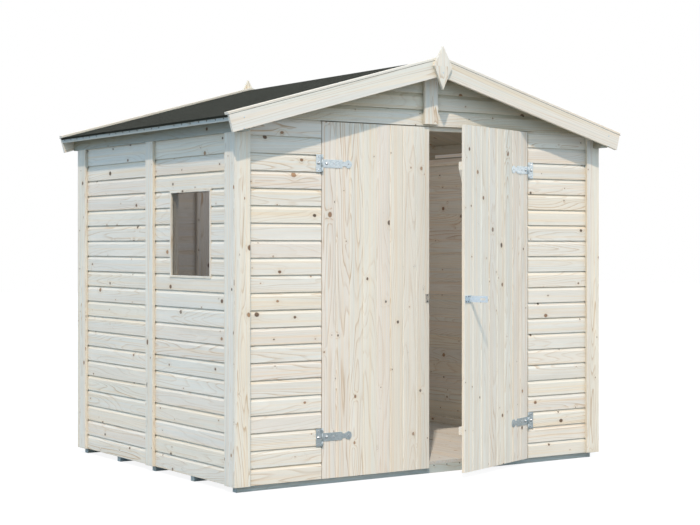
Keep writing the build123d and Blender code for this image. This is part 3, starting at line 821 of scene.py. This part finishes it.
# The left leaf's things are mirrored and then turned open about the right hinges
hinge_axis = Vector((hinge_low.x + hinge_pin_inset, front_y - hinge_pin_inset, 0))
mirrored = Matrix.Scale(-1, 4, rightward)
to_right_leaf = (
    Matrix.Translation(Vector((-hinge_axis.x, hinge_axis.y, 0)))
    @ Matrix.Rotation(door_rest_opening, 4, "Z")
    @ Matrix.Translation(Vector((hinge_axis.x, -hinge_axis.y, 0)))
    @ mirrored
)


def door_leaf(side, move):
    """A leaf's boards, ledges and brace, drawn closed on the left and moved to where the leaf stands."""
    body = f"{side}_door"
    width = (leaf_high.x - leaf_low.x) / door_board_count
    sizes = (width, door_thickness, door_groove, door_groove)
    place = axes(up, rightward, rearward, Vector((leaf_low.x, front_y, 0)))
    boards = matched_row(door_board_count, sizes, leaf_low.z, leaf_high.z, place)
    boards.piece(f"{side}_leaf_boards", body, leaf_board, f"{side}_door_boards", move=move)

    depth = ledge_high.y - ledge_low.y
    ledges = Boards()
    for bottom in (ledge_low.z, ledge_high.z - ledge_height):
        place = axes(rightward, up, rearward, Vector((0, ledge_low.y, bottom)))
        ledges.add(squared(ledge_height, depth, rough_edge), ledge_low.x, ledge_high.x, place)
    ledges.piece(f"{side}_leaf_ledges", body, leaf_board, f"{side}_door_ledges", slot="frame_wood", move=move)

    # The brace runs past both ledges and is cut off level at them
    past_ledge = 0.05
    foot = Vector((ledge_low.x, ledge_low.y, ledge_low.z + ledge_height))
    head = Vector((ledge_high.x, ledge_low.y, ledge_high.z - ledge_height))
    rise, run = head.z - foot.z, head.x - foot.x
    cut_width = brace_width * math.hypot(rise, run) / rise
    slant = Vector((run - cut_width, 0, rise)).normalized()
    sideways = Vector((slant.z, 0, -slant.x))
    length = (head - foot).length
    brace = Boards()
    cuts = [(foot, -up), (head, up)]
    section = squared(cut_width * slant.z, depth, rough_edge)
    brace.add(section, -past_ledge, length, axes(slant, sideways, rearward, foot), cuts)
    brace.piece(f"{side}_leaf_brace", body, leaf_board, f"{side}_door_brace", slot="frame_wood", move=move)


def felt_edges():
    """The felt's edge between bargeboards and cap strips, as a dark line at both ends of the roof."""
    length = -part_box("left_cap_strips")[0].x / math.cos(roof_pitch) - felt_edge_short
    section = squared(felt_edge_height, felt_thickness, fine_edge)
    above = board_thickness + felt_thickness - felt_edge_height / 2
    boards = Boards()
    barge_low, barge_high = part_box("left_bargeboards")
    for face, inward in ((barge_low.y, rearward), (barge_high.y, -rearward)):
        for side in (-1, 1):
            down, normal = roof_axes(side)
            origin = apex * up + face * rearward - felt_edge_proud * inward + above * normal
            boards.add(section, felt_edge_start, length, axes(down, normal, inward, origin))
    boards.piece("felt_edges", "shed", felt, slot="roof_felt")


def eaves_battens():
    """Pale strips inside under the eaves, as seen through the ajar door."""
    section = squared(batten_height, batten_thickness)
    for side, name in ((-1, "left"), (1, "right")):
        boards = Boards()
        inner = -side * plate_inner * rightward + (side_top + batten_rise) * up
        place = axes(rearward, up, -side * rightward, inner)
        boards.add(section, -batten_reach, batten_reach, place)
        boards.piece(f"eaves_batten_{name}", "shed", pale_batten)


def dress(node, material, edge=timber_edge):
    """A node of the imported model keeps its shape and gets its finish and, unless edge is 0, eased edges."""
    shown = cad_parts[node]
    if edge:
        weld = shown.modifiers.new("weld", "WELD")
        weld.merge_threshold = weld_distance
        ease = shown.modifiers.new("ease", "BEVEL")
        ease.width = edge
        ease.segments = 2
        ease.limit_method = "ANGLE"
        ease.angle_limit = least_corner
    shown.data.materials.clear()
    shown.data.materials.append(material)


def carried_over():
    """Finishes of the nodes that stay as packed."""
    runs = {}
    for run in "XYZ":
        place = partial(timber_place, run=run)
        runs[run] = timber_material(f"spruce_run_{run.lower()}", place, knots=0.75, contrast=1.3)
    slopes = {}
    for side, sign in (("left", 1), ("right", -1)):
        place = partial(timber_place, run="X", slope=sign * roof_pitch, stretch=3.5)
        slopes[side] = timber_material(f"spruce_slope_{side}", place, knots=0.0)
    along_x = partial(timber_place, run="X")
    along_y = partial(timber_place, run="Y")
    treated = timber_material("treated_bearer", along_x, treated_tints, 0.3, 1.2, None)
    # The fascias and plates get a greyer, darker finish: painted shade under the eaves
    shaded_eave = timber_material("eave_spruce_painted_shade", along_y, eave_shade_tints, 0.2, corners=deep_painted_shade)
    inside = timber_material("spruce_inside_painted_shade", along_y, shaded_roof_tints, 0.2)

    dress("bearers", treated, rough_edge)
    dress("eave_fascias", shaded_eave)
    dress("wall_plates", shaded_eave)
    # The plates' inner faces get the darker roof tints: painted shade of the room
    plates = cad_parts["wall_plates"].data
    plates.materials.append(inside)
    for face in plates.polygons:
        looks_inward = face.center.x * face.normal.x < -0.5
        if looks_inward:
            face.material_index = 1
    dress("front_rear_rails", runs["X"])
    dress("side_rails", runs["Y"])
    dress("ridge_beam", runs["Y"])
    upright = ("front_rear_studs", "side_studs", "end_corner_boards", "side_corner_boards")
    for node in upright + ("joint_battens", "king_posts", "finials"):
        dress(node, runs["Z"])
    for side in ("left", "right"):
        dress(f"{side}_bargeboards", slopes[side])
        dress(f"{side}_cap_strips", slopes[side], cap_edge)
        dress(f"roof_felt_{side}", felt, 0)
        dress(f"{side}_hinge_straps", zinc, strap_edge)
    for node in ("hinge_plates", "hasp_plate"):
        dress(node, zinc, fine_edge)
    dress("hasp_leaf", zinc_leaf, fine_edge)
    dress("hasp_staple", zinc_loop, fine_edge)
    dress("window_pane", pane, 0)


# Screws, bolts and nails


def head_mesh(mesh, centre, outward, radius, rise, recess):
    """A domed head on a face. outward is the direction it faces, and recess cuts a cross into it."""
    sides = 16
    steps = 4
    arm_depth = 0.55
    web_depth = 0.2
    recess_width = 0.6
    turn = outward.to_track_quat("Z", "Y").to_matrix().to_4x4()
    turn.translation = centre

    def vert(around, index, level):
        spin = 2 * math.pi * index / sides
        return mesh.verts.new(turn @ Vector((around * math.cos(spin), around * math.sin(spin), level)))

    rings = []
    for step in range(steps):
        angle = math.pi / 2 * step / steps
        around = radius * math.cos(angle)
        rings.append([vert(around, index, rise * math.sin(angle)) for index in range(sides)])
    for lower, upper in zip(rings, rings[1:]):
        for index in range(sides):
            after = (index + 1) % sides
            mesh.faces.new((lower[index], lower[after], upper[after], upper[index]))
    mesh.faces.new(list(reversed(rings[0])))
    if not recess:
        mesh.faces.new(rings[-1])
        return
    floor_radius = around * recess_width
    floor_ring = []
    for index in range(sides):
        depth = arm_depth if index % 4 == 0 else web_depth
        floor_ring.append(vert(floor_radius, index, rise * (1 - depth)))
    for index in range(sides):
        after = (index + 1) % sides
        mesh.faces.new((rings[-1][index], rings[-1][after], floor_ring[after], floor_ring[index]))
    mesh.faces.new(floor_ring)


def heads(name, body, places, material, size, recess=False, move=None):
    """Heads at the given places, each a point and the direction it faces, as one piece."""
    mesh = bmesh.new()
    for centre, outward in places:
        head_mesh(mesh, Vector(centre), outward, *size, recess)
    data = finished_mesh(mesh, name, material, move)
    data.shade_smooth()
    shown = link(name, data)
    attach(shown, body)


def on_front(x_places, y_place, heights):
    """Places of heads on a face that looks to the front, at all of the heights at each place."""
    return [((x, y_place, height), -rearward) for x in x_places for height in heights]


def fasteners():
    """Bolts and screws of the hinge plates and straps."""
    face = front_y - metal_thickness
    strap_middle = 0.0205
    plate_middle = hinge_axis.x - 0.021
    plate_screw_rise = 0.034
    strap_bolt = hinge_axis.x + 0.029
    strap_screw_places = (hinge_axis.x + 0.074, hinge_axis.x + 0.164)
    heights = (hinge_low.z + strap_middle, hinge_high.z - strap_middle)
    screw_heights = [height + rise for height in heights for rise in (-plate_screw_rise, plate_screw_rise)]
    plate_bolts = on_front([plate_middle], face, heights)
    plate_screws = on_front([plate_middle], face, screw_heights)
    strap_bolts = on_front([strap_bolt], face, heights)
    strap_screws = on_front(strap_screw_places, face, heights)
    for side, move, leaf_move in (("left", None, None), ("right", mirrored, to_right_leaf)):
        heads(f"{side}_plate_bolts", "shed", plate_bolts, zinc_bolt, bolt_head, move=move)
        heads(f"{side}_plate_screws", "shed", plate_screws, zinc_bolt, screw_head, True, move)
        heads(f"{side}_strap_bolts", f"{side}_door", strap_bolts, zinc_bolt, bolt_head, move=leaf_move)
        heads(f"{side}_strap_screws", f"{side}_door", strap_screws, zinc_bolt, screw_head, True, leaf_move)


def eave_nails():
    """A nail in the lower edge of nearly every roof board along both eaves."""
    height = 0.0155
    unevenness = 0.004
    low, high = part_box("eave_fascias")
    down, rise = roof_axes(-1)
    lower_edge = low - rise.x * fascia_height * rightward
    count = round((high.y - low.y) / board_cover)
    nails = []
    for index in range(count):
        if index % 9 != 7:
            along = (index + 0.5) * (high.y - low.y) / count + random.uniform(-unevenness, unevenness)
            nails.append((lower_edge + rise * height + along * rearward, down))
    heads("left_eave_nails", "shed", nails, nail_steel, eave_nail_head)
    heads("right_eave_nails", "shed", nails, nail_steel, eave_nail_head, move=mirrored)


def timber_heads():
    """Nails in the front bearer, and screws in the bargeboards, the finial, the hasp plate and the staple."""
    bearer_middle = 0.047
    bearer_height = 0.040
    places = [bearer_middle + board_cover * step for step in range(-7, 8)]
    bearer_nails = on_front(places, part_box("bearers")[0].y, [bearer_height])
    heads("bearer_nails", "shed", bearer_nails, nail_steel, bearer_nail_head)

    barge_end = 1.213
    barge_heights = (1.809, 1.866)
    finial_height = 2.156
    barge_screws = on_front((-barge_end, barge_end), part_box("left_bargeboards")[0].y, barge_heights)
    finial_screw = on_front([0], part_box("finials")[0].y, [finial_height])
    heads("barge_screws", "shed", barge_screws + finial_screw, zinc, flat_screw_head, True)

    face = front_y - 0.002
    plate_edge = leaf_high.x - 0.003
    plate_places = (plate_edge - 0.009, plate_edge - 0.033)
    plate_height = 0.95
    plate_screw_rise = 0.013
    plate_heights = (plate_height - plate_screw_rise, plate_height + plate_screw_rise)
    hasp_screws = on_front(plate_places, face, plate_heights)
    heads("hasp_screws", "right_door", hasp_screws, nail_steel, small_screw_head, True, to_right_leaf)

    inset = 0.006
    low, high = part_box("hasp_staple")
    staple_screws = on_front([(low.x + high.x) / 2], face, (low.z + inset, high.z - inset))
    heads("staple_screws", "left_door", staple_screws, nail_steel, small_screw_head, True)


# Floor, light and camera


def seen_directly(tree, reflected):
    """1 where the camera sees a surface, also through glass or where asked in a reflection, else 0."""
    path = tree.add("ShaderNodeLightPath").outputs
    seen = tree.math("MAXIMUM", path["Is Camera Ray"], path["Is Transmission Ray"])
    return tree.math("MAXIMUM", seen, path["Is Glossy Ray"]) if reflected else seen


def pale_floor():
    """A floor that the camera sees nearly white, with the shed's shadow, and that gives back soft light."""
    mesh = bpy.data.meshes.new("stage_floor")
    half = floor_size / 2
    corners = [(-half, -half, 0), (half, -half, 0), (half, half, 0), (-half, half, 0)]
    mesh.from_pydata(corners, [], [(0, 1, 2, 3)])
    material, tree, output = new_material("stage_white")
    reflected = tree.add("ShaderNodeLightPath").outputs["Is Glossy Ray"]
    ground_colour = tree.mix(reflected, floor_lit, floor_in_gloss)
    lit = tree.add("ShaderNodeBsdfDiffuse", {"Color": ground_colour}).outputs[0]
    glow = tree.add("ShaderNodeEmission", {"Color": white, "Strength": floor_glow}).outputs[0]
    shade = tree.add("ShaderNodeBsdfDiffuse", {"Color": floor_seen}).outputs[0]
    shown = tree.add("ShaderNodeAddShader", {0: glow, 1: shade}).outputs[0]
    seen = seen_directly(tree, False)
    tree.put(output, "Surface", tree.add("ShaderNodeMixShader", {0: seen, 1: lit, 2: shown}).outputs[0])
    mesh.materials.append(material)
    link("stage_floor", mesh)


def sky():
    """Light from all round, cooler from the left, in front of a plain white background."""
    world = bpy.data.worlds.new("sky")
    bpy.context.scene.world = world
    world.use_nodes = True
    world.node_tree.nodes.clear()
    tree = Tree(world.node_tree)
    toward = tree.add("ShaderNodeTexCoord").outputs["Generated"]
    from_left = tree.add("ShaderNodeSeparateXYZ", {0: toward}).outputs[0]
    share = tree.math("MULTIPLY_ADD", from_left, 0.5, 0.5)
    tint = tree.mix(share, (*sky_left, 1.0), (*sky_right, 1.0))
    light = tree.add("ShaderNodeBackground", {"Color": tint, "Strength": 1.0}).outputs[0]
    backdrop = tree.add("ShaderNodeBackground", {"Color": white, "Strength": 1.0}).outputs[0]
    seen = seen_directly(tree, True)
    blend = tree.add("ShaderNodeMixShader", {0: seen, 1: light, 2: backdrop}).outputs[0]
    tree.put(tree.add("ShaderNodeOutputWorld"), "Surface", blend)


def distant_lamp(name, direction, strength, colour, softness):
    """A lamp whose light comes evenly from one direction, spread by its softness."""
    light = bpy.data.lights.new(name, "SUN")
    light.energy = strength
    light.color = colour
    light.angle = softness
    link(name, light).rotation_euler = direction.to_track_quat("-Z", "Y").to_euler()


def room_lamp():
    """A weak lamp inside the shed, for the light that comes in round the doors."""
    light = bpy.data.lights.new("room", "POINT")
    light.energy = room_light
    light.color = room_colour
    light.shadow_soft_size = room_softness
    link("room", light).location = room_place


def take_view():
    """The camera of the photograph, level and with its frame shifted."""
    lens = bpy.data.cameras.new("camera")
    lens.sensor_width = 36.0
    lens.lens = camera_lens
    lens.shift_x, lens.shift_y = camera_shift
    camera = link("camera", lens)
    camera.location = camera_place
    camera.rotation_euler = (math.radians(90), 0, camera_turn)
    bpy.context.scene.camera = camera
    bpy.context.scene.view_settings.view_transform = "Standard"


def studio():
    """Everything round the shed that shows it as in the photograph."""
    pale_floor()
    sky()
    distant_lamp("sun", sun_direction, sun_strength, sun_colour, sun_softness)
    distant_lamp("fill", fill_direction, fill_strength, fill_colour, fill_softness)
    room_lamp()
    take_view()


# The whole


def build():
    """Every piece of the shed, in the order in which they draw their random numbers."""
    front_walls()
    gables()
    rear_wall()
    side_walls()
    floor()
    roof()
    window_frame()
    stops()
    door_leaf("left", None)
    door_leaf("right", to_right_leaf)
    eaves_battens()
    felt_edges()
    carried_over()
    fasteners()
    eave_nails()
    timber_heads()


build()
studio()
